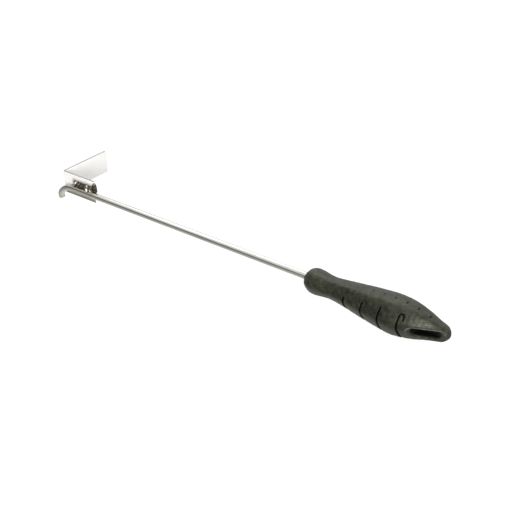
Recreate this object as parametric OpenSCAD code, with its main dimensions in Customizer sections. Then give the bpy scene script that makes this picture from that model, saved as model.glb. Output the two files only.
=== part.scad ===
// Hive floor scraper: a bent stainless plate welded to a round bar that ends in a hook,
// with a moulded file-type handle. The bar runs along +X from the plate to the handle,
// the blade stands out along +Y, and +Z is up. The origin is the centre of the
// footprint, at the level of the lowest point of the handle.

/* [Plate] */
// Height of the bent plate
plate_h = 22; // [16:0.5:28]
// Thickness of the sheet
plate_t = 2; // [1:0.25:3]
// Length of the leg that scrapes, from the outside of the bend
blade_len = 55; // [35:1:90]
// Length of the leg that is welded to the bar, from the outside of the bend
support_len = 42; // [34:1:60]
// Inside radius of the bend
plate_bend_r = 0.5; // [0.5:0.25:3]

/* [Bar] */
// Diameter of the round bar
bar_d = 6; // [4:0.5:8]
// Height of the bar's axis above the lower edge of the plate
bar_z = 9.5; // [8:0.5:11]
// Free length of the bar between the plate and the handle
bar_free = 239; // [120:1:320]
// Length of the bar inside the handle
tang_len = 68; // [40:1:80]
// Radius of the long bend that leads to the hook, at the bar's axis
lead_r = 24; // [16:1:30]
// Turn of the long bend, in degrees
lead_turn = 48; // [30:1:60]
// Radius of the tight bend of the hook itself
hook_r = 6; // [5:0.5:10]
// Turn of the hook from the line of the bar, in degrees
hook_turn = 104; // [80:1:120]
// Straight length beyond the bends
hook_tip = 1.6; // [1:0.1:5]
// Chamfer on the hook's cut end
tip_chamfer = 0.7; // [0.3:0.1:1]

/* [Welds] */
// Radius of the weld bead between the bar and the plate
bead_r = 3.6; // [3:0.1:4]
// Radius of the weld on the end of the plate
end_weld_r = 2.5; // [2:0.1:3]

/* [Handle] */
// Length of the handle
handle_len = 121.5; // [105:0.5:135]
// Half the width over half the height, at the front end
front_ratio = 1.0; // [0.9:0.01:1.1]
// Half the width over half the height, at the tail
tail_ratio = 0.9; // [0.8:0.01:1]
// How crisp the six soft edges of the section are
section_power = 8; // [6:1:12]
// Depth of the four finger grooves
groove_depth = 1; // [0.5:0.1:1.5]
// Width of the four finger grooves
groove_w = 1.4; // [1:0.1:2]

/* [Hanging hole] */
// Length of the hanging hole, over its round ends
hang_len = 22; // [16:1:24]
// Height of the hanging hole
hang_h = 7; // [5:0.5:8]
// Plastic left between the hanging hole and the tail
hang_wall = 5; // [4:0.5:8]
// How far the hanging hole lies below the middle of the handle
hang_drop = 1; // [0:0.25:2]

/* [Hidden] */
$fn = 64;

bar_r = bar_d / 2;
bar_y = -bar_r;
plate_bend_out = plate_bend_r + plate_t;

// The bends follow each other from here. The tight bend and the tip each start a little
// inside the piece before them and are a little thinner, so that they join cleanly.
hook_start = 17;
lap = 0.2;
step_in = 0.02;
lead_end = [hook_start - lead_r * sin(lead_turn), -lead_r * (1 - cos(lead_turn))];
bend_end = lead_end - hook_r * [
    sin(hook_turn) - sin(lead_turn),
    cos(lead_turn) - cos(hook_turn)
];
hook_reach = lead_end[0] - hook_r * (1 - sin(lead_turn)) - bar_r;
handle_x = support_len + bar_free;

// The weld bead lies in the upper corner between the bar and the plate.
bead_y = -bead_r / 2;
bead_z = bar_z + bar_r + 0.7;
bead_start = 14 + bead_r;
bead_end = support_len - bead_r / 2;
end_weld_top = plate_h - 4.8;

// Handle outline: share of the length from the front face, then the heights of the upper
// and the lower side above the bar's axis. A smooth curve runs through them.
OUTLINE = [
    [0.00, 8.1, -10.5],
    [0.08, 8.6, -11.3],
    [0.19, 6.9, -10.4],
    [0.29, 7.8, -11.9],
    [0.40, 9.2, -14.4],
    [0.52, 10.6, -16.9],
    [0.64, 11.4, -18.8],
    [0.75, 10.3, -17.2],
    [0.86, 6.5, -13.8],
    [1.00, -0.3, -9.7]
];
// The ends are rounded off over these lengths; the front face keeps this share.
front_round = 8;
front_share = 0.5;
tail_round = 5;

// Section: outward directions of its six soft faces, seen along the bar
FACES = [90, 32, -30, -90, 210, 148];
// Finger grooves: share of the length from the front face, and the angle where the
// groove starts above the middle of the side; all of them end under the handle
GROOVES = [[0.318, 20], [0.45, 30], [0.575, 40], [0.705, 36]];
groove_end = -75;
groove_fade = 8;

section_sides = 48;
station_step = 4;

// Where the sections stand: close together on the round ends and at each groove
STATIONS = concat(
    [0, 1, 2.5, 5],
    [for (x = [front_round:station_step:handle_len - 8]) if (!near_groove(x)) x],
    [for (g = GROOVES, d = [-groove_w / 2, 0, groove_w / 2]) g[0] * handle_len + d],
    [handle_len - 5, handle_len - 3, handle_len - 1.5, handle_len - 0.5, handle_len]
);

// The footprint reaches from the hook to the tail and from the handle to the end of the
// blade, and the lowest point is the belly of the handle.
handle_half_w = max([for (x = STATIONS, p = ring(x)) p[1]]);
belly_z = bar_z + min([for (x = STATIONS, p = ring(x)) p[2]]);
x_mid = (hook_reach + handle_x + handle_len) / 2;
y_mid = (bar_y - handle_half_w + blade_len) / 2;

function ratio_at(x) = front_ratio + (tail_ratio - front_ratio) * x / handle_len;

// Slope of the outline at one of its points
function slope(i, k) =
    let (a = max(i - 1, 0), b = min(i + 1, len(OUTLINE) - 1))
    (OUTLINE[b][k] - OUTLINE[a][k]) / (OUTLINE[b][0] - OUTLINE[a][0]);

// Number of the stretch of the outline that holds the share u of the length
function stretch(u, i = 0) =
    (i >= len(OUTLINE) - 2 || u <= OUTLINE[i + 1][0]) ? i : stretch(u, i + 1);

// Height of the upper (k = 1) or lower (k = 2) side at x, a cubic through the points
function side(x, k) =
    let (
        u = x / handle_len,
        i = stretch(u),
        w = OUTLINE[i + 1][0] - OUTLINE[i][0],
        t = (u - OUTLINE[i][0]) / w
    )
    (2 * t^3 - 3 * t^2 + 1) * OUTLINE[i][k]
    + (t^3 - 2 * t^2 + t) * w * slope(i, k)
    + (3 * t^2 - 2 * t^3) * OUTLINE[i + 1][k]
    + (t^3 - t^2) * w * slope(i + 1, k);

function middle(x) = (side(x, 1) + side(x, 2)) / 2;

function rounding(x) =
    let (
        front = max(0, 1 - x / front_round),
        tail = max(0, 1 - (handle_len - x) / tail_round)
    )
    (front_share + (1 - front_share) * sqrt(1 - front^2)) * sqrt(max(0.02, 1 - tail^2));

function half_height(x) = (side(x, 1) - side(x, 2)) / 2 * rounding(x);

function sum(v, i = 0) = i >= len(v) ? 0 : v[i] + sum(v, i + 1);

// Distance from the middle of the section to its edge, for a half height of 1
function section(a) =
    pow(sum([for (f = FACES) pow(max(0, cos(a - f)), section_power)]), -1 / section_power);

// Share of a groove's depth at the angle a on the side that faces -Y; grooves are the
// same on both sides
function groove_share(a, start) =
    let (up = asin(sin(a)))
    max(0, min(1, (start - up) / groove_fade)) * max(0, min(1, (up - groove_end) / groove_fade));

function groove(x, a) =
    max([for (g = GROOVES)
        abs(x - g[0] * handle_len) < 0.01 ? groove_depth * groove_share(a, g[1]) : 0]);

function ring(x) = [
    for (i = [0:section_sides - 1])
        let (
            a = 360 * i / section_sides,
            h = half_height(x),
            r = section(a),
            cut = groove(x, a)
        )
        [
            x,
            (h * ratio_at(x) * r - cut) * cos(a),
            middle(x) + (h * r - cut) * sin(a)
        ]
];

function near_groove(x) =
    len([for (g = GROOVES) if (abs(x - g[0] * handle_len) < groove_w) 1]) > 0;

function sorted(v) =
    len(v) <= 1 ? v :
    let (
        pivot = v[floor(len(v) / 2)],
        low = [for (x = v) if (x < pivot) x],
        same = [for (x = v) if (x == pivot) x],
        high = [for (x = v) if (x > pivot) x]
    )
    concat(sorted(low), same, sorted(high));

module in_place() {
    translate([-x_mid, -y_mid, -belly_z]) children();
}

// A cylinder along +X
module along_x(r, from, to, y, z) {
    translate([from, y, z]) rotate([0, 90, 0]) cylinder(r = r, h = to - from);
}

// Outline of the bent plate, seen from above
module plate_outline() {
    translate([plate_bend_out, 0]) square([support_len - plate_bend_out, plate_t]);
    translate([0, plate_bend_out]) square([plate_t, blade_len - plate_bend_out]);
    intersection() {
        square(plate_bend_out);
        translate([plate_bend_out, plate_bend_out]) difference() {
            circle(plate_bend_out);
            circle(plate_bend_r);
        }
    }
}

module plate_body() {
    linear_extrude(plate_h) plate_outline();
}

module bar_straight() {
    along_x(bar_r, hook_start, handle_x + tang_len, bar_y, bar_z);
}

module bar_body() {
    bar_straight();
    hook();
}

// Part of a ring about an axis along Y: it starts from -X at the angle "from" below the
// line of the bar and turns down by "turn"
module bend(r, tube, from, turn) {
    rotate([90, 0, 0]) rotate([0, 0, 90 + from])
        rotate_extrude(angle = turn) translate([r, 0]) circle(tube);
}

module hook() {
    back = lap / hook_r * 180 / PI;
    tube = bar_r - step_in;
    tip = tube - step_in;
    translate([hook_start, bar_y, bar_z - lead_r]) bend(lead_r, bar_r, 0, lead_turn);
    translate([
        lead_end[0] + hook_r * sin(lead_turn),
        bar_y,
        bar_z + lead_end[1] - hook_r * cos(lead_turn)
    ])
        bend(hook_r, tube, lead_turn - back, hook_turn - lead_turn + back);
    translate([bend_end[0], bar_y, bar_z + bend_end[1]])
        rotate([0, -90 - hook_turn, 0]) translate([0, 0, -lap]) {
            cylinder(r = tip, h = hook_tip + lap - tip_chamfer);
            translate([0, 0, hook_tip + lap - tip_chamfer])
                cylinder(r1 = tip, r2 = tip - tip_chamfer, h = tip_chamfer);
        }
}

module bead_body() {
    along_x(bead_r, bead_start, bead_end, bead_y, bead_z);
    translate([bead_start, bead_y, bead_z]) sphere(bead_r);
    translate([bead_end, bead_y, bead_z]) sphere(bead_r);
}

module end_weld_body() {
    translate([support_len + 0.4, 0, bar_z + 1])
        cylinder(r = end_weld_r, h = end_weld_top - bar_z);
    translate([support_len + 0.4, 0, end_weld_top + 1]) sphere(end_weld_r);
}

module handle_skin() {
    stations = sorted(STATIONS);
    rings = [for (x = stations) ring(x)];
    n = section_sides;
    last = len(rings) - 1;
    points = [for (r = rings, p = r) p];
    skin = [
        for (j = [0:last - 1], i = [0:n - 1])
            [j * n + i, j * n + (i + 1) % n, (j + 1) * n + (i + 1) % n, (j + 1) * n + i]
    ];
    front = [for (i = [n - 1:-1:0]) i];
    tail = [for (i = [0:n - 1]) last * n + i];
    polyhedron(points, concat(skin, [front], [tail]), convexity = 6);
}

module hanging_hole() {
    hang_end = handle_len - hang_wall - hang_h / 2;
    hang_start = hang_end - hang_len + hang_h;
    depth = 40;
    z = middle((hang_start + hang_end) / 2) - hang_drop;
    for (x = [hang_start, hang_end])
        translate([x, depth / 2, z]) rotate([90, 0, 0]) cylinder(r = hang_h / 2, h = depth);
    translate([hang_start, -depth / 2, z - hang_h / 2])
        cube([hang_end - hang_start, depth, hang_h]);
}

module scraper_blade() {
    color("gainsboro") in_place() plate_body();
}

module bar() {
    color("silver") in_place() bar_body();
}

module weld_bead() {
    color("dimgray") in_place() difference() {
        bead_body();
        bar_body();
        translate([-10, 0, -10]) cube([support_len + 20, 20, 50]);
    }
}

module end_weld() {
    color("dimgray") in_place() difference() {
        end_weld_body();
        bar_straight();
        plate_body();
        bead_body();
    }
}

module handle() {
    color("darkslategray") in_place() difference() {
        translate([handle_x, bar_y, bar_z]) {
            difference() {
                handle_skin();
                hanging_hole();
            }
        }
        along_x(bar_r, handle_x - 1, handle_x + tang_len, bar_y, bar_z);
    }
}

scraper_blade();
bar();
weld_bead();
end_weld();
handle();
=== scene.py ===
"""Looks of a hive floor scraper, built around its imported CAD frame.

The bent plate is its CAD node with softened edges. The bar is swept along its route,
and the two welds and the moulded handle are sculpted: each is the zero surface of a
field, a function that is negative inside the piece, and stands in its node's place.
"""

import math

import bpy
import numpy as np
from mathutils import Matrix, Vector


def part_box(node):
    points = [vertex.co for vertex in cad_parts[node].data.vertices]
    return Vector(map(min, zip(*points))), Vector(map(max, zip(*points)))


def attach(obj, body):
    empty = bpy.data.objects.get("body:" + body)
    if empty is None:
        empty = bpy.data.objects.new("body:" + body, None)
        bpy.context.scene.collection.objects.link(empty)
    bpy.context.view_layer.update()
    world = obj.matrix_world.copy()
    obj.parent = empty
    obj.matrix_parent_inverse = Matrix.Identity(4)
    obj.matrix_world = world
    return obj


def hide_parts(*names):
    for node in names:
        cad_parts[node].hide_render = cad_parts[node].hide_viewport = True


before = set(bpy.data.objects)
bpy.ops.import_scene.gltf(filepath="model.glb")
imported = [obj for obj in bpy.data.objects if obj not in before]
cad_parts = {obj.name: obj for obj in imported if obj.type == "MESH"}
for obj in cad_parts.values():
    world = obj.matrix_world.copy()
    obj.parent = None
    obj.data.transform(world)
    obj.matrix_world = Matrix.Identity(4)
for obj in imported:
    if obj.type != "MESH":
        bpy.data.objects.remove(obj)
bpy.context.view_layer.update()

# A millimetre in the frame's metres
MM = 0.001


# ---------------------------------------------------------------- places, in millimetres

def box_mm(node):
    """Lowest and highest corner of a CAD node, in millimetres."""
    low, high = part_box(node)
    return np.array(low) / MM, np.array(high) / MM


PLATE_LOW, PLATE_HIGH = box_mm("scraper_blade")
BAR_LOW, BAR_HIGH = box_mm("bar")
BEAD_LOW, BEAD_HIGH = box_mm("weld_bead")
END_LOW, END_HIGH = box_mm("end_weld")
HANDLE_LOW, HANDLE_HIGH = box_mm("handle")

BAR_R = (BAR_HIGH[1] - BAR_LOW[1]) / 2
BAR_Y = (BAR_HIGH[1] + BAR_LOW[1]) / 2
BAR_Z = BAR_HIGH[2] - BAR_R
HANDLE_LENGTH = HANDLE_HIGH[0] - HANDLE_LOW[0]
# Thickness of the plate
SHEET = 2.0


# ---------------------------------------------------------------- meshes from fields

def smooth_min(a, b, blend):
    """The lower of two fields, rounded where they meet over a width of about blend."""
    share = np.clip(0.5 + 0.5 * (b - a) / blend, 0, 1)
    return b + (a - b) * share - blend * share * (1 - share)


def smooth_max(a, b, blend):
    """The higher of two fields, rounded in the same way."""
    return -smooth_min(-a, -b, blend)


# Depth inside the piece that a filled grid corner gets
FILLED = 0.001
UNTANGLE_ROUNDS = 4


def untangle(value):
    """Fills one corner of each grid square whose inside corners lie across from each other.

    Without this the surface would meet itself along an edge there.
    """
    for _ in range(UNTANGLE_ROUNDS):
        for i, j in ((0, 1), (0, 2), (1, 2)):
            view = np.moveaxis(value, (i, j), (0, 1))
            a, b = view[:-1, :-1], view[1:, :-1]
            c, d = view[:-1, 1:], view[1:, 1:]
            crossed = ((a < 0) == (d < 0)) & ((b < 0) == (c < 0)) & ((a < 0) != (b < 0))
            a_outside = crossed & (a >= 0)
            b_outside = crossed & (b >= 0)
            a[a_outside] = -FILLED
            b[b_outside] = -FILLED


def surface_mesh(field, axes):
    """Points and quads of the closed surface where field is zero, by surface nets.

    axes are the grid's coordinates along X, Y and Z, and need not be evenly spaced.
    """
    counts = [len(axis) for axis in axes]
    grid = np.stack(np.meshgrid(*axes, indexing="ij"), -1)
    value = field(grid.reshape(-1, 3)).reshape(counts)
    untangle(value)
    inside = value < 0
    cells = [n - 1 for n in counts]
    total = np.zeros((*cells, 3))
    hits = np.zeros(cells)
    crossings = []
    for k in range(3):
        first = [slice(None)] * 3
        second = [slice(None)] * 3
        first[k] = slice(0, -1)
        second[k] = slice(1, None)
        first, second = tuple(first), tuple(second)
        crosses = inside[first] != inside[second]
        gap = np.where(crosses, value[first] - value[second], 1.0)
        share = np.where(crosses, value[first] / gap, 0.0)
        point = grid[first] + share[..., None] * (grid[second] - grid[first])
        i, j = [n for n in range(3) if n != k]
        for step_i in (0, 1):
            for step_j in (0, 1):
                part = [slice(None)] * 3
                part[i] = slice(step_i, step_i + cells[i])
                part[j] = slice(step_j, step_j + cells[j])
                part = tuple(part)
                total += np.where(crosses[part][..., None], point[part], 0.0)
                hits += crosses[part]
        crossings.append((k, i, j, crosses, inside[first]))
    active = hits > 0
    number = np.full(cells, -1)
    number[active] = np.arange(active.sum())
    points = total[active] / hits[active][:, None]
    quads = []
    for k, i, j, crosses, starts_inside in crossings:
        edge = np.argwhere(crosses)
        corners = []
        for step_i, step_j in ((-1, -1), (0, -1), (0, 0), (-1, 0)):
            cell = edge.copy()
            cell[:, i] += step_i
            cell[:, j] += step_j
            corners.append(number[tuple(cell.T)])
        quad = np.stack(corners, 1)
        turn = starts_inside[tuple(edge.T)]
        if k == 1:
            turn = ~turn
        quad[~turn] = quad[~turn][:, ::-1]
        quads.append(quad)
    return points, np.concatenate(quads)


def largest_part(points, quads):
    """The largest of the separate surfaces, without specks and closed bubbles."""
    label = np.arange(len(points))
    while True:
        lowest = label[quads].min(1)
        after = label.copy()
        np.minimum.at(after, quads, lowest[:, None])
        after = after[after]
        if (after == label).all():
            break
        label = after
    names, sizes = np.unique(label[quads[:, 0]], return_counts=True)
    kept = names[np.argmax(sizes)]
    quads = quads[label[quads[:, 0]] == kept]
    used, index = np.unique(quads, return_inverse=True)
    return points[used], index.reshape(-1, 4)


# Half the distance over which a field's slope is measured
PROBE = 0.02
SETTLE_ROUNDS = 3


def settle(points, field, reach):
    """Moves points onto the field's zero surface, each by at most reach a round."""
    for _ in range(SETTLE_ROUNDS):
        value = field(points)
        slope = np.stack(
            [
                (field(points + PROBE * side) - field(points - PROBE * side)) / (2 * PROBE)
                for side in np.eye(3)
            ],
            -1,
        )
        size = np.maximum((slope**2).sum(1), 1e-3)
        step = -value[:, None] * slope / size[:, None]
        length = np.maximum(np.linalg.norm(step, axis=1), 1e-9)
        points = points + step * np.minimum(1, reach / length)[:, None]
    return points


def even_axis(low, high, step):
    """Grid coordinates at most step apart."""
    return np.linspace(low, high, int(math.ceil((high - low) / step)) + 1)


def fine_axis(low, high, coarse, fine, spots, reach):
    """Grid coordinates that are fine within reach of each spot and coarse elsewhere."""
    places = [low]
    while places[-1] < high:
        near = min((abs(places[-1] - spot) for spot in spots), default=1e9)
        ease = min(1, max(0, near - reach) / reach)
        places.append(places[-1] + fine + (coarse - fine) * ease)
    return np.array(places)


def make_piece(name, points, quads, node, material):
    """A smooth-shaded mesh, from points in millimetres, that stands for a CAD node."""
    mesh = bpy.data.meshes.new(name)
    mesh.from_pydata((points * MM).tolist(), [], [tuple(quad) for quad in quads])
    mesh.validate()
    mesh.shade_smooth()
    mesh.materials.append(material)
    piece = bpy.data.objects.new(name, mesh)
    bpy.context.scene.collection.objects.link(piece)
    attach(piece, "root")
    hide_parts(node)
    return piece


def store(piece, name, values):
    """One number for each point of a piece, which its material reads."""
    attribute = piece.data.attributes.new(name, "FLOAT", "POINT")
    attribute.data.foreach_set("value", values.astype(np.float32))


def ripple_noise(points, size):
    """A fixed, smooth unevenness between about -1 and 1, with lumps of that size."""
    waves = ((1.0, 0.3, 0.5, 0.4), (-0.4, 1.0, 0.2, 1.9), (0.3, -0.5, 1.0, 3.1),
             (1.3, 0.9, -0.8, 5.2), (-0.9, 1.4, 1.1, 0.7))
    total = np.zeros(len(points))
    for a, b, c, phase in waves:
        total += np.sin((points @ np.array([a, b, c])) * math.tau / size + phase)
    return total / 3


# ---------------------------------------------------------------- material helpers

class Nodes:
    """A short way to build a material's or a world's node tree."""

    def __init__(self, tree):
        self.tree = tree
        self.tree.nodes.clear()

    def add(self, kind, **settings):
        node = self.tree.nodes.new(kind)
        for name, value in settings.items():
            setattr(node, name, value)
        return node

    def link(self, source, target):
        self.tree.links.new(source, target)

    def feed(self, socket, value):
        if isinstance(value, bpy.types.NodeSocket):
            self.link(value, socket)
        else:
            socket.default_value = value

    def math(self, operation, *values, clamp=False):
        node = self.add("ShaderNodeMath", operation=operation, use_clamp=clamp)
        for socket, value in zip(node.inputs, values):
            self.feed(socket, value)
        return node.outputs[0]

    def vector(self, operation, *values):
        node = self.add("ShaderNodeVectorMath", operation=operation)
        for socket, value in zip(node.inputs, values):
            self.feed(socket, value)
        return node.outputs["Value" if operation in ("LENGTH", "DOT_PRODUCT") else "Vector"]

    def place(self, scale=(1, 1, 1)):
        """Position in millimetres, stretched by scale."""
        where = self.add("ShaderNodeTexCoord").outputs["Object"]
        return self.vector("MULTIPLY", where, tuple(s / MM for s in scale))

    def normal(self):
        return self.add("ShaderNodeNewGeometry").outputs["Normal"]

    def seen(self):
        """1 where the camera looks straight at the surface, else 0."""
        return self.add("ShaderNodeLightPath").outputs["Is Camera Ray"]

    def split(self, vector):
        """The vector's X, Y and Z."""
        node = self.add("ShaderNodeSeparateXYZ")
        self.link(vector, node.inputs[0])
        return tuple(node.outputs)

    def noise(self, place, scale, detail=3.0, roughness=0.5):
        node = self.add("ShaderNodeTexNoise")
        self.feed(node.inputs["Vector"], place)
        node.inputs["Scale"].default_value = scale
        node.inputs["Detail"].default_value = detail
        node.inputs["Roughness"].default_value = roughness
        return node.outputs["Fac"]

    def ramp(self, value, stops):
        """A colour ramp; stops are (position, colour)."""
        node = self.add("ShaderNodeValToRGB")
        ramp = node.color_ramp
        while len(ramp.elements) < len(stops):
            ramp.elements.new(1.0)
        for element, (position, colour) in zip(ramp.elements, stops):
            element.position = position
            element.color = (*colour, 1.0)
        self.feed(node.inputs["Fac"], value)
        return node.outputs["Color"]

    def range(self, value, low, high, to_low, to_high):
        """Maps low..high to to_low..to_high, and stays there beyond them."""
        node = self.add("ShaderNodeMapRange")
        for socket, number in zip(node.inputs, (value, low, high, to_low, to_high)):
            self.feed(socket, number)
        return node.outputs[0]

    def mix(self, share, a, b, blend="MIX"):
        """Colour a blended with colour b, which may be sockets or plain colours."""
        node = self.add("ShaderNodeMix", data_type="RGBA", blend_type=blend)
        self.feed(node.inputs["Factor"], share)
        colour_a, colour_b = [s for s in node.inputs if s.type == "RGBA"]
        self.feed(colour_a, value_rgba(a))
        self.feed(colour_b, value_rgba(b))
        return [s for s in node.outputs if s.type == "RGBA"][0]

    def bump(self, height, strength, distance_mm):
        node = self.add("ShaderNodeBump")
        node.inputs["Strength"].default_value = strength
        node.inputs["Distance"].default_value = distance_mm * MM
        self.feed(node.inputs["Height"], height)
        return node.outputs["Normal"]

    def attribute(self, name):
        return self.add("ShaderNodeAttribute", attribute_name=name).outputs["Fac"]


def value_rgba(value):
    """A socket as it is, or a plain colour with its alpha."""
    if isinstance(value, bpy.types.NodeSocket) or len(value) == 4:
        return value
    return (*value, 1.0)


def new_material(name):
    """A material with its node builder and its shader's inputs."""
    material = bpy.data.materials.new(name)
    material.use_nodes = True
    nodes = Nodes(material.node_tree)
    shader = nodes.add("ShaderNodeBsdfPrincipled")
    output = nodes.add("ShaderNodeOutputMaterial")
    nodes.link(shader.outputs["BSDF"], output.inputs["Surface"])
    return material, nodes, shader.inputs


# ---------------------------------------------------------------- steels

# The band that most of a noise's values fall in
SPREAD = (0.35, 0.65)
NARROW_SPREAD = (0.38, 0.62)
# How far the heat colours reach from the seam, and how uneven that reach is
TINT_REACH = 5.0
TINT_UNEVEN = 2.2
# Painted shade on the plate's inner face, which faces +X
INNER_FACE_SHADE = (0.79, 0.785, 0.775)
# Painted shade along the plate's bottom and far-end edges
RIM_EDGE_SHADE = (0.62, 0.61, 0.60)
# Painted shade on the plate's faces that turn up or down
CUT_EDGE_SHADE = (0.25, 0.245, 0.235)
# Painted shade on the bar's underside
BAR_UNDER_SHADE = (0.16, 0.155, 0.13)


def heat_tint(nodes, steel):
    """The steel's colour with the oxide colours that welding leaves around the seam."""
    place = nodes.place()
    low = (BEAD_LOW[0] + 2, BAR_Y + 1, BAR_Z + BAR_R - 0.5)
    high = (END_HIGH[0] - 1.5, PLATE_LOW[1], BEAD_HIGH[2] - 2)
    nearest = nodes.vector("MINIMUM", nodes.vector("MAXIMUM", place, low), high)
    away = nodes.vector("LENGTH", nodes.vector("SUBTRACT", place, nearest))
    uneven = nodes.math("MULTIPLY", nodes.noise(place, 0.45, 4.0), TINT_UNEVEN)
    share = nodes.math("DIVIDE", nodes.math("ADD", away, uneven), TINT_REACH + TINT_UNEVEN)
    tint = nodes.ramp(
        share,
        (
            (0.28, (0.12, 0.11, 0.09)),
            (0.40, (0.34, 0.32, 0.30)),
            (0.52, (0.66, 0.62, 0.55)),
            (0.66, (0.88, 0.85, 0.80)),
            (0.84, (1.0, 1.0, 1.0)),
        ),
    )
    return nodes.mix(1.0, steel, tint, "MULTIPLY")


def steel_material(name, tones, grain, roughness, bump_strength, metallic):
    """Stainless steel; grain stretches the noise along the way it was worked.

    Its colour is given back for the caller to finish and link.
    """
    material, nodes, shader = new_material(name)
    cloud = nodes.noise(nodes.place(), 0.06, 3.0)
    streaks = nodes.noise(nodes.place(grain), 1.0, 4.0, 0.6)
    colour = nodes.mix(nodes.range(cloud, *SPREAD, 0.0, 1.0), *tones)
    shader["Metallic"].default_value = metallic
    wear = nodes.math("MULTIPLY", nodes.math("ADD", cloud, streaks), 0.5)
    nodes.link(nodes.range(wear, *SPREAD, *roughness), shader["Roughness"])
    nodes.link(nodes.bump(streaks, bump_strength, 0.01), shader["Normal"])
    return material, nodes, shader, heat_tint(nodes, colour)


def plate_steel():
    """Bright sheet, with painted shade on its cut edges, along its rim and on its inner face,
    and a painted shadow under the bar.
    """
    material, nodes, shader, colour = steel_material(
        "plate_steel",
        tones=((0.975, 0.965, 0.95), (0.93, 0.92, 0.905)),
        grain=(0.25, 0.25, 5.0),
        roughness=(0.30, 0.45),
        bump_strength=0.25,
        metallic=0.2,
    )
    _, y, z = nodes.split(nodes.place())
    facing_x, facing_y, facing_z = nodes.split(nodes.normal())
    lower = nodes.math("SUBTRACT", z, PLATE_LOW[2])
    end = nodes.math("SUBTRACT", PLATE_HIGH[1], y)
    # Painted shade: a darker band along the bottom and far-end edges, standing for the edge
    # line that the bevel's shading draws.
    rim = nodes.range(nodes.math("MINIMUM", lower, end), 0.5, 1.2, 0.75, 0.0)
    colour = nodes.mix(rim, colour, RIM_EDGE_SHADE)
    # Painted shade: the face turned towards +X is made greyer, to tone down how brightly it is
    # lit.
    colour = nodes.mix(nodes.range(facing_x, 0.6, 0.9, 0.0, 0.7), colour, INNER_FACE_SHADE)
    # Painted shadow of the bar: a dark, streaked band on the leg's front face below the bar,
    # set by height and by facing.
    streaks = nodes.noise(nodes.place((0.05, 1, 1.1)), 1.0, 3.0, 0.5)
    oxide = nodes.ramp(
        streaks,
        ((0.35, (0.11, 0.105, 0.085)), (0.5, (0.20, 0.19, 0.155)), (0.65, (0.30, 0.29, 0.25))),
    )
    under = nodes.range(z, BAR_Z - 2.5, BAR_Z - 1.5, 1.0, 0.0)
    under = nodes.math("MULTIPLY", under, nodes.range(facing_y, -0.9, -0.6, 1.0, 0.0))
    colour = nodes.mix(under, colour, oxide)
    # Painted shade: faces turned up or down, which are the sheet's cut edges, are darkened to
    # stand for the dark that they reflect.
    edge = nodes.range(nodes.math("ABSOLUTE", facing_z), 0.3, 0.8, 0.0, 1.0)
    nodes.link(nodes.mix(edge, colour, CUT_EDGE_SHADE), shader["Base Color"])
    return material


def bar_steel():
    """Bright drawn bar, with painted shade on its underside along the plate."""
    material, nodes, shader, colour = steel_material(
        "bar_steel",
        tones=((0.58, 0.565, 0.54), (0.51, 0.50, 0.475)),
        grain=(0.12, 6.0, 6.0),
        roughness=(0.10, 0.18),
        bump_strength=0.3,
        metallic=1.0,
    )
    x = nodes.split(nodes.place())[0]
    facing_z = nodes.split(nodes.normal())[2]
    # Painted shade: the bar's downward faces are darkened along the stretch beside the plate.
    under = nodes.range(facing_z, -0.1, -0.6, 0.0, 0.75)
    start, end = PLATE_LOW[0] + 6, PLATE_HIGH[0] + 2
    from_hook = nodes.range(x, start, start + 4, 0.0, 1.0)
    to_end = nodes.range(x, end - 3, end, 1.0, 0.0)
    share = nodes.math("MULTIPLY", under, nodes.math("MULTIPLY", from_hook, to_end))
    nodes.link(nodes.mix(share, colour, BAR_UNDER_SHADE), shader["Base Color"])
    return material


def weld_metal():
    """Weld metal: bright on the crests, brown-black in the hollows, which is partly oxide and
    partly painted shade.
    """
    material, nodes, shader = new_material("weld_metal")
    place = nodes.place()
    crest = nodes.attribute("crest")
    patches = nodes.noise(place, 0.42, 3.0, 0.55)
    patchy = nodes.range(patches, *NARROW_SPREAD, -0.34, 0.42)
    share = nodes.math("ADD", crest, patchy, clamp=True)
    # Dark in the hollows: partly the weld's oxide, partly painted shade.
    colour = nodes.ramp(
        share,
        (
            (0.30, (0.065, 0.060, 0.044)),
            (0.58, (0.19, 0.18, 0.145)),
            (0.80, (0.42, 0.41, 0.37)),
            (0.95, (0.82, 0.81, 0.78)),
        ),
    )
    nodes.link(colour, shader["Base Color"])
    shader["Metallic"].default_value = 1.0
    nodes.link(nodes.range(share, 0.2, 0.9, 0.55, 0.2), shader["Roughness"])
    nodes.link(nodes.bump(nodes.noise(place, 2.2, 4.0, 0.6), 0.5, 0.08), shader["Normal"])
    return material


PLASTIC_DARK = (0.0050, 0.0054, 0.0025)
PLASTIC_PALE = (0.0185, 0.0192, 0.0110)
# Painted highlight for the hanging hole's rim
PLASTIC_RIM_HIGHLIGHT = (0.12, 0.122, 0.105)
# Painted shade in the handle's recesses
PLASTIC_RECESS_SHADE = (0.004, 0.004, 0.003)


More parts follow.
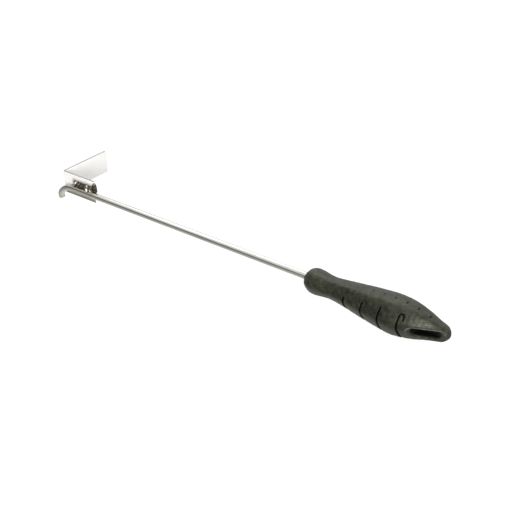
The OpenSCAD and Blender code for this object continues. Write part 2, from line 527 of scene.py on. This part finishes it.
def handle_plastic():
    """Moulded olive-black plastic with a fine grain; painted shade makes its recesses dark and
    dull, and a painted highlight lies on the hole's rim.
    """
    material, nodes, shader = new_material("handle_plastic")
    place = nodes.place()
    cloud = nodes.noise(place, 0.07, 4.0, 0.6)
    blotch = nodes.noise(place, 0.30, 3.0, 0.6)
    grain = nodes.noise(place, 3.2, 2.0, 0.6)
    speck = nodes.noise(place, 1.1, 3.0, 0.7)
    half_cloud = nodes.math("MULTIPLY", cloud, 0.5)
    tone = nodes.math("ADD", half_cloud, nodes.math("MULTIPLY", blotch, 0.5))
    share = nodes.range(tone, *NARROW_SPREAD, 0.0, 1.0)
    colour = nodes.mix(share, PLASTIC_DARK, PLASTIC_PALE)
    # Painted shade: the recesses, the grooves and the hanging hole are darkened and lose their
    # shine.
    recess = nodes.range(nodes.attribute("depth"), 0.05, 0.6, 0.0, 1.0)
    # Painted highlight on the rim of the hanging hole.
    colour = nodes.mix(nodes.attribute("rim_highlight"), colour, PLASTIC_RIM_HIGHLIGHT)
    nodes.link(nodes.mix(recess, colour, PLASTIC_RECESS_SHADE), shader["Base Color"])
    shine = nodes.range(blotch, *SPREAD, 0.36, 0.52)
    nodes.link(nodes.range(recess, 0.0, 1.0, shine, 0.06), shader["Specular IOR Level"])
    wear = nodes.math("MULTIPLY", nodes.math("ADD", blotch, speck), 0.5)
    nodes.link(nodes.range(wear, *NARROW_SPREAD, 0.34, 0.50), shader["Roughness"])
    height = nodes.math("ADD", grain, nodes.math("MULTIPLY", speck, 1.2))
    height = nodes.math("ADD", height, nodes.math("MULTIPLY", blotch, 4.0))
    nodes.link(nodes.bump(height, 0.28, 0.06), shader["Normal"])
    shader["Specular Tint"].default_value = (0.97, 1.0, 0.84, 1.0)
    return material


# ---------------------------------------------------------------- plate and bar

# Points closer than this are one point
MERGE_GAP = 0.002
# Faces that meet at more degrees than these have a cut edge between them
CUT_ANGLE = 35
BAR_SHARP_ANGLE = 50
EDGE_SOFTNESS = 0.25


def soften_edges(node, width_mm, material):
    """Rounds a CAD node's cut edges a little and gives it its material."""
    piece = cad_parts[node]
    weld = piece.modifiers.new("weld", "WELD")
    weld.merge_threshold = MERGE_GAP * MM
    bevel = piece.modifiers.new("edges", "BEVEL")
    bevel.width = width_mm * MM
    bevel.segments = 3
    bevel.limit_method = "ANGLE"
    bevel.angle_limit = math.radians(CUT_ANGLE)
    piece.data.materials.clear()
    piece.data.materials.append(material)


# The bar's bends, as in the CAD node: a long one, then the tight one of the hook
HOOK_START = 17.0
LEAD_RADIUS = 24.0
LEAD_TURN = 48
HOOK_RADIUS = 6.0
HOOK_TURN = 104
HOOK_TIP = 1.6
TIP_CHAMFER = 0.7
BAR_SIDES = 48
# Degrees from one ring of the bends to the next
BEND_STEP = 2


def bar_route():
    """Places on the bar's axis from the tang to the tip, with the way the bar goes."""
    route = [(np.array([BAR_HIGH[0], BAR_Y, BAR_Z]), 0.0)]
    place = np.array([PLATE_LOW[0] + HOOK_START, BAR_Y, BAR_Z])
    route.append((place, 0.0))
    turned = 0
    for radius, turn in ((LEAD_RADIUS, LEAD_TURN), (HOOK_RADIUS, HOOK_TURN)):
        centre = place + radius * np.array([
            math.sin(math.radians(turned)), 0, -math.cos(math.radians(turned))
        ])
        for angle in range(turned + BEND_STEP, turn + 1, BEND_STEP):
            a = math.radians(angle)
            place = centre + radius * np.array([-math.sin(a), 0, math.cos(a)])
            route.append((place, a))
        turned = turn
    a = math.radians(turned)
    route.append((place + HOOK_TIP * np.array([-math.cos(a), 0, -math.sin(a)]), a))
    return route


def tip_steps():
    """The rounded chamfer of the hook's cut end: shifts along the axis, with radii."""
    return [
        (-TIP_CHAMFER, BAR_R),
        (-0.3, BAR_R - 0.18),
        (-0.08, BAR_R - 0.45),
        (0.0, BAR_R - TIP_CHAMFER),
    ]


def make_bar():
    """The bar as rings swept along its route, closed by a flat face at each end."""
    rings = []
    route = bar_route()
    for n, (place, angle) in enumerate(route):
        ahead = np.array([-math.cos(angle), 0, -math.sin(angle)])
        outward = np.array([-math.sin(angle), 0, math.cos(angle)])
        steps = [(0.0, BAR_R)]
        if n == 0:
            steps = [(0.0, BAR_R - TIP_CHAMFER), (TIP_CHAMFER, BAR_R)]
        if n == len(route) - 1:
            steps = tip_steps()
        for shift, radius in steps:
            centre = place + shift * ahead
            rings.append([
                centre + radius * (math.cos(b) * outward + math.sin(b) * np.array([0, 1, 0]))
                for b in np.linspace(0, math.tau, BAR_SIDES, endpoint=False)
            ])
    points = np.array(rings).reshape(-1, 3)
    faces = []
    for ring in range(len(rings) - 1):
        for side in range(BAR_SIDES):
            after = (side + 1) % BAR_SIDES
            a, b = ring * BAR_SIDES, (ring + 1) * BAR_SIDES
            faces.append((a + side, a + after, b + after, b + side))
    faces.append(tuple(range(BAR_SIDES - 1, -1, -1)))
    faces.append(tuple(range(len(points) - BAR_SIDES, len(points))))
    piece = make_piece("bar_drawn", points, faces, "bar", bar_steel())
    piece.data.set_sharp_from_angle(angle=math.radians(BAR_SHARP_ANGLE))


# ---------------------------------------------------------------- welds

def bar_distance(points):
    """Distance to the straight of the bar."""
    return np.hypot(points[:, 1] - BAR_Y, points[:, 2] - BAR_Z) - BAR_R


def plate_distance(points):
    """Distance to the support leg, which the welds join to the bar."""
    high = np.array([PLATE_HIGH[0], PLATE_LOW[1] + SHEET, PLATE_HIGH[2]])
    away = np.maximum(PLATE_LOW - points, points - high)
    return np.minimum(away.max(1), 0) + np.linalg.norm(np.maximum(away, 0), axis=1)


def blob_field(points, blobs, blend):
    """Eggs run into each other: blobs are (centre, radii, lean along x)."""
    total = None
    for centre, radii, lean in blobs:
        q = points - np.array(centre)
        q[:, 0] -= lean * q[:, 2]
        q = q / np.array(radii)
        away = (np.linalg.norm(q, axis=1) - 1) * min(radii)
        total = away if total is None else smooth_min(total, away, blend)
    return total


# How far the weld metal reaches into the bar and the plate, and how rounded that cut is
EMBED = 0.12
CUT_BLEND = 0.4
# Unevenness of the metal: heights, with the sizes of their lumps
RIPPLES = ((0.10, 1.7), (0.05, 0.8))
# The unions whose gap shows the hollows, and the gap that counts as fully hollow
TIGHT_BLEND = 0.05
SOFT_BLEND = 3.0
HOLLOW = 0.8


def weld_piece(name, node, blobs, blend, step, material):
    """A weld of blobs, cut back to the surfaces that it is fused to."""

    def field(points):
        metal = blob_field(points, blobs, blend)
        for height, size in RIPPLES:
            metal = metal + height * ripple_noise(points, size)
        metal = smooth_max(metal, -(bar_distance(points) + EMBED), CUT_BLEND)
        return smooth_max(metal, -(plate_distance(points) + EMBED), CUT_BLEND)

    low = np.min([np.array(c) - np.array(r) for c, r, _ in blobs], 0) - 2
    high = np.max([np.array(c) + np.array(r) for c, r, _ in blobs], 0) + 2
    axes = [even_axis(low[k], high[k], step) for k in range(3)]
    points, quads = largest_part(*surface_mesh(field, axes))
    points = settle(points, field, step / 2)
    piece = make_piece(name, points, quads, node, material)
    # The gap between a tight and a soft union is widest in the hollows between the pools
    valley = blob_field(points, blobs, TIGHT_BLEND) - blob_field(points, blobs, SOFT_BLEND)
    store(piece, "crest", 1 - np.clip(valley / HOLLOW, 0, 1))


def bead_blobs():
    """The fillet's pools, which lean apart at its ends, run together by a long core."""
    pools = 6
    y = PLATE_LOW[1] - 1.8
    z = BEAD_HIGH[2] - 3.6
    start = BEAD_LOW[0] + 4.2
    end = BEAD_HIGH[0] - 3.2
    blobs = []
    for n in range(pools):
        share = n / (pools - 1)
        sway = math.sin(2.4 * n + 0.6)
        x = start + (end - start) * share + 0.5 * sway
        size = 3.15 + 0.35 * math.sin(1.7 * n + 1.0)
        radii = (2.1 + 0.4 * math.cos(2.1 * n), size, size)
        lean = 0.65 * math.cos(math.pi * share)
        blobs.append(((x, y + 0.3 * sway, z + 0.2 * math.cos(3.1 * n)), radii, lean))
    core = ((end - start) / 2 + 1.5, 2.5, 2.5)
    blobs.append((((start + end) / 2, y, z), core, 0.0))
    return blobs


def end_blobs():
    """The pools of the weld on the plate's end edge, one above the other, with their core."""
    pools = 3
    x = (END_LOW[0] + END_HIGH[0]) / 2
    y = (END_LOW[1] + END_HIGH[1]) / 2
    low = END_LOW[2] + 2.0
    high = END_HIGH[2] - 2.3
    blobs = []
    for n in range(pools):
        share = n / (pools - 1)
        size = 2.3 - 0.25 * share
        centre = (x + 0.2 * math.sin(2 * n), y, low + (high - low) * share)
        blobs.append((centre, (size, size, 2.1), 0.0))
    core = (1.9, 1.9, (high - low) / 2 + 1.2)
    blobs.append(((x, y, (low + high) / 2), core, 0.0))
    return blobs


def make_welds():
    metal = weld_metal()
    weld_piece("weld_bead_rippled", "weld_bead", bead_blobs(), 0.5, 0.22, metal)
    weld_piece("end_weld_rippled", "end_weld", end_blobs(), 0.6, 0.2, metal)


# ---------------------------------------------------------------- handle

# Outline of the moulding, as in the CAD node: share of the length, then the heights of
# the upper and the lower side above the bar's axis.
OUTLINE = np.array([
    (0.00, 8.1, -10.5),
    (0.08, 8.6, -11.3),
    (0.19, 6.9, -10.4),
    (0.29, 7.8, -11.9),
    (0.40, 9.2, -14.4),
    (0.52, 10.6, -16.9),
    (0.64, 11.4, -18.8),
    (0.75, 10.3, -17.2),
    (0.86, 6.5, -13.8),
    (1.00, -0.3, -9.7),
])
# Half the width over half the height, at the front end and at the tail
FRONT_RATIO = 1.0
TAIL_RATIO = 0.9
# Lengths over which the two ends are rounded, and the share of the height that is left
# at the front face and, squared, at the tail
FRONT_ROUND = 8.0
FRONT_SHARE = 0.5
TAIL_ROUND = 5.0
TAIL_SHARE = 0.02
# How crisp the soft edges of the section are
SECTION_POWER = 8
# Angles of the upper and the lower slanting faces, and how far they turn at the tail
UPPER_FACE = 32
UPPER_TURN = 14
LOWER_FACE = -30
LOWER_TURN = -8
# How far out the upright side face stands, and how far it comes in at the tail
SIDE_FACE = 1.6
SIDE_TURN = 0.56
# Shares of the length where that turn starts, and over which it happens
CREASE_FADE = 0.84
CREASE_FADE_LENGTH = 0.16
# Bulge of the front end around the bar, and the radius over which it falls off
NOSE = 1.8
NOSE_RADIUS = 8
# Unevenness of the moulded skin
DIMPLES = 0.06

# Grooves: share of the length, and the angle where each starts above the side's middle
GROOVES = ((0.318, 20), (0.45, 30), (0.575, 40), (0.705, 36))
GROOVE_HALF = 0.65
GROOVE_WIDENING = 0.35
GROOVE_DEPTH = 1.8
# How far the grooves bow towards the tail, and how far forward their middles stand
GROOVE_BOW = 1.2
GROOVE_SHIFT = 0.4
# Angle where the grooves end under the belly
GROOVE_END = -75
# The bend at the last groove's top end
CROOK_RADIUS = 1.7
CROOK_DROP = 2.5
CROOK_HALF = 0.5
CROOK_DEPTH = 0.9

# Hanging hole, measured from the tail
HOLE_WALL = 5.0
HOLE_LENGTH = 22.0
HOLE_HEIGHT = 7.0
HOLE_DROP = 1.0
# Rise of the hole's line towards the tail, in millimetres to the millimetre
HOLE_SLOPE = 0.05
# Half the hole's height in its middle, and what the draft adds on the way out
HOLE_WAIST = 2.2
HOLE_DRAFT = 0.9
# Length that the hole gives up at its tail end, for its mouth to take back
HOLE_TRIM = 0.8
MOUTH_HALF = 4.7
MOUTH_DEPTH = 1.8
MOUTH_TAIL = 2.6
MOUTH_DROP = 0.9
# The lip stands this far outside the mouth
LIP_GAP = 0.3
LIP_RADIUS = 0.6

# Marks along the spine
TICKS = 7
TICK_FIRST = 49.4
TICK_STEP = 9.3
TICK_HALF = 0.45
TICK_LENGTH = 2.6
# The first one's depth, and what each next one adds to it
TICK_DEPTH = 0.25
TICK_DEEPENING = 0.06

# Rounding of the edges between the skin and what is cut into it
EDGE_ROUND = 0.3
TICK_ROUND = 0.25
SOCKET_ROUND = 0.4
# How far the handle's socket grips into the bar's surface
SOCKET_GRIP = 0.05

# Grid steps for the handle's surface
STEP_COARSE = 0.6
STEP_FINE = 0.25
STEP_ACROSS = 0.4


def hermite(x, xs, ys):
    """A cubic through the points, with the slopes of their neighbours."""
    i = np.clip(np.searchsorted(xs, x, side="right") - 1, 0, len(xs) - 2)
    before = np.maximum(np.arange(len(xs)) - 1, 0)
    after = np.minimum(np.arange(len(xs)) + 1, len(xs) - 1)
    slope = (ys[after] - ys[before]) / (xs[after] - xs[before])
    w = xs[i + 1] - xs[i]
    t = (x - xs[i]) / w
    return (
        (2 * t**3 - 3 * t**2 + 1) * ys[i]
        + (t**3 - 2 * t**2 + t) * w * slope[i]
        + (3 * t**2 - 2 * t**3) * ys[i + 1]
        + (t**3 - t**2) * w * slope[i + 1]
    )


def handle_side(x, column):
    """Height of the outline: column 1 is its upper side and column 2 its lower side."""
    return hermite(x / HANDLE_LENGTH, OUTLINE[:, 0], OUTLINE[:, column])


def handle_middle(x):
    return (handle_side(x, 1) + handle_side(x, 2)) / 2


def handle_half(x):
    """Half the height of the moulding, with its rounded ends."""
    front = np.clip(1 - x / FRONT_ROUND, 0, 1)
    tail = np.clip(1 - (HANDLE_LENGTH - x) / TAIL_ROUND, 0, 1)
    rounding = FRONT_SHARE + (1 - FRONT_SHARE) * np.sqrt(1 - front**2)
    rounding = rounding * np.sqrt(np.maximum(TAIL_SHARE, 1 - tail**2))
    return (handle_side(x, 1) - handle_side(x, 2)) / 2 * rounding


def body_field(x, y, z):
    """The plain moulding: slanting, upright and level faces with soft edges."""
    inside_x = np.clip(x, 0, HANDLE_LENGTH)
    half = handle_half(inside_x)
    wide = half * (FRONT_RATIO + (TAIL_RATIO - FRONT_RATIO) * inside_x / HANDLE_LENGTH)
    u = y / wide
    v = (z - handle_middle(inside_x)) / half
    fade = np.clip((inside_x / HANDLE_LENGTH - CREASE_FADE) / CREASE_FADE_LENGTH, 0, 1)
    fade = fade * fade * (3 - 2 * fade)
    upper = np.radians(UPPER_FACE + UPPER_TURN * fade)
    lower = np.radians(LOWER_FACE + LOWER_TURN * fade)
    across = np.abs(u)
    faces = np.maximum(0, across * np.cos(upper) + v * np.sin(upper)) ** SECTION_POWER
    faces += np.maximum(0, across * np.cos(lower) + v * np.sin(lower)) ** SECTION_POWER
    faces += (across / (SIDE_FACE - SIDE_TURN * fade)) ** SECTION_POWER
    faces += np.abs(v) ** SECTION_POWER
    body = (faces ** (1 / SECTION_POWER) - 1) * half
    bulge = 1 - (y * y + (z - handle_middle(inside_x)) ** 2) / NOSE_RADIUS**2
    body = smooth_max(body, -x - NOSE * bulge, 2.0)
    return smooth_max(body, x - HANDLE_LENGTH, 0.8)


def hole_centre():
    """Where the hole's two end circles have their centres along x, and its height."""
    end = HANDLE_LENGTH - HOLE_WALL - HOLE_HEIGHT / 2
    start = end - HOLE_LENGTH + HOLE_HEIGHT
    height = float(handle_middle(np.array([(start + end) / 2]))[0]) - HOLE_DROP
    return start, end, height


def slot_distance(x, z, half, tail):
    """Distance to the outline of a slot of that half height, stretched at its tail end."""
    start, end, height = hole_centre()
    along = np.clip(x, start + HOLE_HEIGHT / 2 - half, end + tail)
    rise = HOLE_SLOPE * (x - (start + end) / 2)
    return np.hypot(x - along, z - height - rise) - half


def hole_field(x, y, z, body):
    """The hanging hole: drafted towards its middle, with a funnelled mouth."""
    draft = np.clip(np.abs(y) / 6.0, 0, 1) ** 2
    mouth = np.clip(1 + body / MOUTH_DEPTH, 0, 1.3)
    half = HOLE_WAIST + HOLE_DRAFT * draft + (MOUTH_HALF - HOLE_WAIST - HOLE_DRAFT) * mouth
    return slot_distance(x, z + MOUTH_DROP * mouth, half, MOUTH_TAIL * mouth - HOLE_TRIM)


def mouth_distance(x, z, half):
    """Distance to the outline of the hole's mouth, for that half height."""
    return slot_distance(x, z + MOUTH_DROP, half, MOUTH_TAIL - HOLE_TRIM)


def lip_field(x, z, body):
    """The thin raised lip around the mouth of the hanging hole."""
    return np.hypot(mouth_distance(x, z, MOUTH_HALF + LIP_GAP), body) - LIP_RADIUS


def side_angle(x, y, z):
    """A point's angle above the middle of its side, in degrees, and its radius."""
    height = z - handle_middle(np.clip(x, 0, HANDLE_LENGTH))
    return np.degrees(np.arctan2(height, np.abs(y))), np.hypot(y, height)


def groove_field(x, y, z, body):
    """The four finger grooves, down both sides and under the belly."""
    angle, radius = side_angle(x, y, z)
    total = np.full(len(x), 1e3)
    for share, start in GROOVES:
        bow = GROOVE_BOW * ((angle - 5) / 45.0) ** 2
        half = GROOVE_HALF + GROOVE_WIDENING * np.clip((10 - angle) / 50, 0, 1)
        across = np.abs(x - share * HANDLE_LENGTH - bow + GROOVE_SHIFT) - half
        above = np.radians(angle - start) * radius
        below = np.radians(GROOVE_END - angle) * radius
        groove = np.maximum(across, np.maximum(above, below))
        total = np.minimum(total, np.maximum(groove, -(body + GROOVE_DEPTH)))
    return np.minimum(total, crook_field(x, y, z, body))


def crook_field(x, y, z, body):
    """The last groove's top end, which bends over towards the tail and down again."""
    angle, radius = side_angle(x, y, z)
    share, start = GROOVES[-1]
    high = np.radians(angle - start) * radius
    along = x - share * HANDLE_LENGTH - CROOK_RADIUS
    arch = np.where(
        high > 0,
        np.abs(np.hypot(along, high) - CROOK_RADIUS),
        np.maximum(np.abs(along - CROOK_RADIUS), -high - CROOK_DROP),
    )
    return np.maximum(arch - CROOK_HALF, -(body + CROOK_DEPTH))


def tick_field(x, y, z, body):
    """A row of short marks pressed into the spine."""
    place = np.clip(np.round((x - TICK_FIRST) / TICK_STEP), 0, TICKS - 1)
    across = np.abs(x - TICK_FIRST - place * TICK_STEP) - TICK_HALF
    along = np.abs(y + TICK_LENGTH / 2) - TICK_LENGTH / 2
    deep = -(body + TICK_DEPTH + TICK_DEEPENING * place)
    top = handle_middle(np.clip(x, 0, HANDLE_LENGTH)) - z
    return np.maximum(np.maximum(across, along), np.maximum(deep, top))


def handle_skin(points):
    """The moulding's outer surface before anything is cut into it."""
    x, y, z = points.T
    dimples = ripple_noise(points, 5.5) + 0.5 * ripple_noise(points, 2.6)
    return body_field(x, y, z) + DIMPLES * (1.2 + dimples)


def handle_field(points):
    """Points are measured from the front face and the bar's axis."""
    x, y, z = points.T
    plain = handle_skin(points)
    shape = smooth_min(plain, lip_field(x, z, plain), EDGE_ROUND)
    shape = smooth_max(shape, -groove_field(x, y, z, plain), EDGE_ROUND)
    shape = smooth_max(shape, -tick_field(x, y, z, plain), TICK_ROUND)
    shape = smooth_max(shape, -hole_field(x, y, z, plain), EDGE_ROUND)
    around = np.hypot(y, z) - BAR_R + SOCKET_GRIP
    socket = np.maximum(around, x - BAR_HIGH[0] + HANDLE_LOW[0])
    return smooth_max(shape, -socket, SOCKET_ROUND)


def recess_depth(points):
    """How deep a point lies in a recess, which sets how much painted shade darkens it; the
    hole counts as shallow.
    """
    x, y, z = points.T
    skin = handle_skin(points)
    in_hole = mouth_distance(x, z, MOUTH_HALF) < 1
    depth = np.where(in_hole, -skin - 0.9, -skin)
    groove = np.clip(groove_field(x, y, z, skin), 0, 1)
    return np.clip(np.maximum(depth, 0.6 - 1.5 * groove), 0, 1.5)


def painted_rim_highlight(points):
    """Painted highlight on the rim of the hole's mouth, mostly on its upper side."""
    x, _, z = points.T
    high = np.clip((z - hole_centre()[2]) / 3 + 0.5, 0.3, 1)
    high = high * np.clip((HANDLE_LENGTH - 3 - x) / 5, 0.2, 1)
    near = np.clip(1.4 - np.abs(mouth_distance(x, z, MOUTH_HALF) - 0.1) / 0.4, 0, 1)
    return near * high * (np.abs(handle_skin(points)) < 0.7)


def make_handle():
    spots = [share * HANDLE_LENGTH for share, _ in GROOVES]
    spots += [TICK_FIRST + n * TICK_STEP for n in range(TICKS)]
    spots.append(-NOSE + 0.6)
    half = (HANDLE_HIGH[1] - HANDLE_LOW[1]) / 2 + 1
    axes = [
        fine_axis(-NOSE - 1, HANDLE_LENGTH + 1, STEP_COARSE, STEP_FINE, spots, 1.2),
        even_axis(-half, half, STEP_ACROSS),
        even_axis(HANDLE_LOW[2] - BAR_Z - 1, HANDLE_HIGH[2] - BAR_Z + 1, STEP_ACROSS),
    ]
    points, quads = surface_mesh(handle_field, axes)
    points = settle(points, handle_field, STEP_ACROSS / 2)
    piece = make_piece(
        "handle_moulding",
        points + np.array([HANDLE_LOW[0], BAR_Y, BAR_Z]),
        quads,
        "handle",
        handle_plastic(),
    )
    store(piece, "depth", recess_depth(points))
    store(piece, "rim_highlight", painted_rim_highlight(points))


# ---------------------------------------------------------------- stage, light and camera

VIEW_AZIMUTH = 37.27
VIEW_ELEVATION = 31.56
VIEW_ROLL = -1.09
VIEW_DISTANCE = 0.683
VIEW_LENS = 58.7
# The point that the camera looks at, from the middle of the object's footprint
VIEW_AIM = Vector((0.0283, -0.0163, 0.01565))

# The floor's glow: as the camera sees it, far from the bar, and what is added beside the
# bar, which fades over FLOOR_FALL millimetres
FLOOR_SEEN = 0.93
FLOOR_FAR = 0.26
FLOOR_NEAR = 0.72
FLOOR_FALL = 17.0
# Distances ahead of the hook where that added glow starts and is full
GLOW_START = 16
GLOW_FULL = 2
# Half the floor's side, in metres
FLOOR_REACH = 30.0

# The studio's dark side, and the azimuth that it lies at
DARK_SIDE = (0.13, 0.13, 0.112)
DARK_AZIMUTH = -30
# Where it ends: steepness of the direction, and how squarely it points to that side
DARK_TOP = (0.26, 0.76)
DARK_FLANKS = (0.25, 0.6)
STUDIO_STRENGTH = 1.25
WHITE = (1.0, 1.0, 1.0)


def make_camera():
    a = math.radians(VIEW_AZIMUTH)
    e = math.radians(VIEW_ELEVATION)
    back = Vector((math.sin(a) * math.cos(e), -math.cos(a) * math.cos(e), math.sin(e)))
    data = bpy.data.cameras.new("camera")
    data.lens = VIEW_LENS
    data.sensor_width = 36.0
    data.clip_start = 0.01
    data.clip_end = 100.0
    camera = bpy.data.objects.new("camera", data)
    turn = back.to_track_quat("Z", "Y").to_matrix().to_4x4()
    roll = Matrix.Rotation(math.radians(VIEW_ROLL), 4, back)
    camera.matrix_world = Matrix.Translation(VIEW_AIM + back * VIEW_DISTANCE) @ roll @ turn
    bpy.context.scene.collection.objects.link(camera)
    bpy.context.scene.camera = camera


def make_floor():
    """A pale floor that glows: painted light, which it throws up at the tool and which fades
    away from the bar's line.
    """
    mesh = bpy.data.meshes.new("floor")
    corners = [(-1, -1, 0), (1, -1, 0), (1, 1, 0), (-1, 1, 0)]
    mesh.from_pydata([FLOOR_REACH * Vector(c) for c in corners], [], [(0, 1, 2, 3)])
    material, nodes, shader = new_material("floor_glowing")
    place = nodes.place()
    x, y, _ = nodes.split(place)
    # Painted light: a pool of glow beside the bar, which only rays other than the camera's
    # see.
    away = nodes.math("ABSOLUTE", nodes.math("SUBTRACT", y, BAR_Y))
    near = nodes.math("EXPONENT", nodes.math("MULTIPLY", away, -1 / FLOOR_FALL))
    beside = nodes.range(x, BAR_LOW[0] - GLOW_START, BAR_LOW[0] - GLOW_FULL, 0.0, 1.0)
    near = nodes.math("MULTIPLY", near, beside)
    glow = nodes.math("MULTIPLY_ADD", near, FLOOR_NEAR, FLOOR_FAR)
    seen = nodes.seen()
    glow = nodes.range(seen, 0.0, 1.0, glow, FLOOR_SEEN)
    nodes.link(glow, shader["Emission Strength"])
    haze = nodes.noise(place, 0.01, 2.0)
    warm = nodes.mix(haze, (1.0, 0.985, 0.92), (1.0, 0.985, 0.94))
    nodes.link(nodes.mix(seen, warm, WHITE), shader["Emission Color"])
    nodes.link(nodes.mix(haze, (0.12, 0.12, 0.12), (0.14, 0.14, 0.14)), shader["Base Color"])
    shader["Roughness"].default_value = 0.9
    shader["Specular IOR Level"].default_value = 0.1
    mesh.materials.append(material)
    floor = bpy.data.objects.new("floor", mesh)
    bpy.context.scene.collection.objects.link(floor)


def area_light(name, place, aim, width, height, power):
    """A softbox, in metres and watts, that faces its aim."""
    data = bpy.data.lights.new(name, "AREA")
    data.shape = "RECTANGLE"
    data.size = width
    data.size_y = height
    data.energy = power
    light = bpy.data.objects.new(name, data)
    light.location = place
    light.rotation_euler = (Vector(aim) - Vector(place)).to_track_quat("-Z", "Y").to_euler()
    bpy.context.scene.collection.objects.link(light)


def make_world():
    """A bright studio with a dark side low down, towards the front."""
    world = bpy.data.worlds.new("studio")
    world.use_nodes = True
    nodes = Nodes(world.node_tree)
    direction = nodes.add("ShaderNodeTexCoord").outputs["Generated"]
    a = math.radians(DARK_AZIMUTH)
    front = nodes.vector("DOT_PRODUCT", direction, (math.sin(a), -math.cos(a), 0.0))
    low = nodes.range(nodes.split(direction)[2], *DARK_TOP, 1.0, 0.0)
    shade = nodes.math("MULTIPLY", nodes.range(front, *DARK_FLANKS, 0.0, 1.0), low)
    colour = nodes.mix(shade, WHITE, DARK_SIDE)
    seen = nodes.seen()
    background = nodes.add("ShaderNodeBackground")
    background.inputs["Strength"].default_value = STUDIO_STRENGTH
    nodes.link(nodes.mix(seen, colour, WHITE), background.inputs["Color"])
    output = nodes.add("ShaderNodeOutputWorld")
    nodes.link(background.outputs[0], output.inputs["Surface"])
    bpy.context.scene.world = world


def make_lights():
    make_world()
    area_light("softbox_top", (-0.3, 0.35, 1.3), (0, 0, 0), 1.4, 1.0, 7.0)
    area_light("softbox_right", (0.85, -1.2, 0.34), (-0.1, 0, 0.02), 0.8, 0.5, 20.0)
    bpy.context.scene.view_settings.view_transform = "Standard"


# ---------------------------------------------------------------- the whole scene

make_camera()
make_floor()
make_lights()
soften_edges("scraper_blade", EDGE_SOFTNESS, plate_steel())
make_bar()
make_welds()
make_handle()
